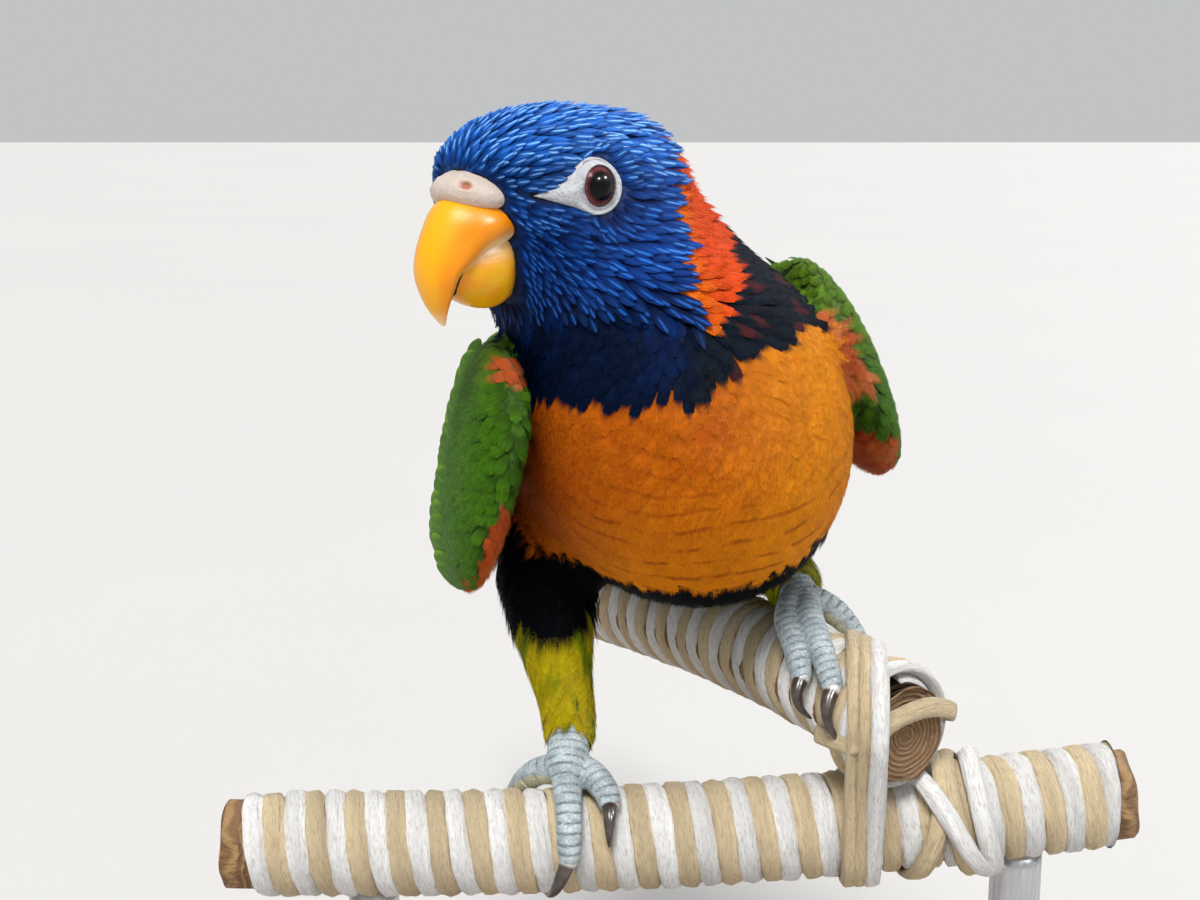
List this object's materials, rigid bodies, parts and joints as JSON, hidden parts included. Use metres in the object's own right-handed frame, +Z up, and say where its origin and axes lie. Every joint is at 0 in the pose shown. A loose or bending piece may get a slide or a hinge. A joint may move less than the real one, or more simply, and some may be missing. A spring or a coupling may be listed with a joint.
{
  "type": "red-collared lorikeet on a perch stand",
  "caption": "Life-size still model of a red-collared lorikeet gripping lashed, cord-wrapped perch rods on a plain display stand.",
  "frame": {"origin": "middle of the underside of the stand's base, which is the floor level", "axes": "+Z up; the bird's breast faces -Y and its left side is towards +X; the tail points to +Y"},
  "size_m": [0.15, 0.2348, 0.1957],
  "materials": {
    "blue_feathers": "soft sheen",
    "dark_feathers": "soft sheen",
    "orange_feathers": "soft matt",
    "green_feathers": "soft sheen",
    "yellow_feathers": "soft matt",
    "bill": "satin horn",
    "cere": "matt bare skin",
    "eye": "wet gloss",
    "foot_skin": "dry scaly skin",
    "claw": "polished horn",
    "wrapping": "twisted paper cord",
    "bare_wood": "rough bark and sawn end",
    "stand_wood": "satin varnish",
    "stand_metal": "brushed"
  },
  "bodies": {
    "root": {"bill_lower": "bill", "bill_upper": "bill", "cere": "cere", "claw_left_inner_back": "claw", "claw_left_inner_front": "claw", "claw_left_outer_back": "claw", "claw_left_outer_front": "claw", "claw_right_inner_back": "claw", "claw_right_inner_front": "claw", "claw_right_outer_back": "claw", "claw_right_outer_front": "claw", "eye_left": "eye", "eye_right": "eye", "foot_left": "foot_skin", "foot_right": "foot_skin", "head": "blue_feathers", "leg_left": "yellow_feathers", "leg_right": "yellow_feathers", "neck": "dark_feathers", "perch_lashing": "wrapping", "perch_stick_back": "bare_wood", "perch_stick_front": "bare_wood", "perch_wrap_back": "wrapping", "perch_wrap_front": "wrapping", "stand_base": "stand_wood", "stand_post_1": "stand_metal", "stand_post_2": "stand_metal", "tail": "green_feathers", "trunk": "orange_feathers", "wing_left": "green_feathers", "wing_right": "green_feathers"}
  },
  "joints": []
}
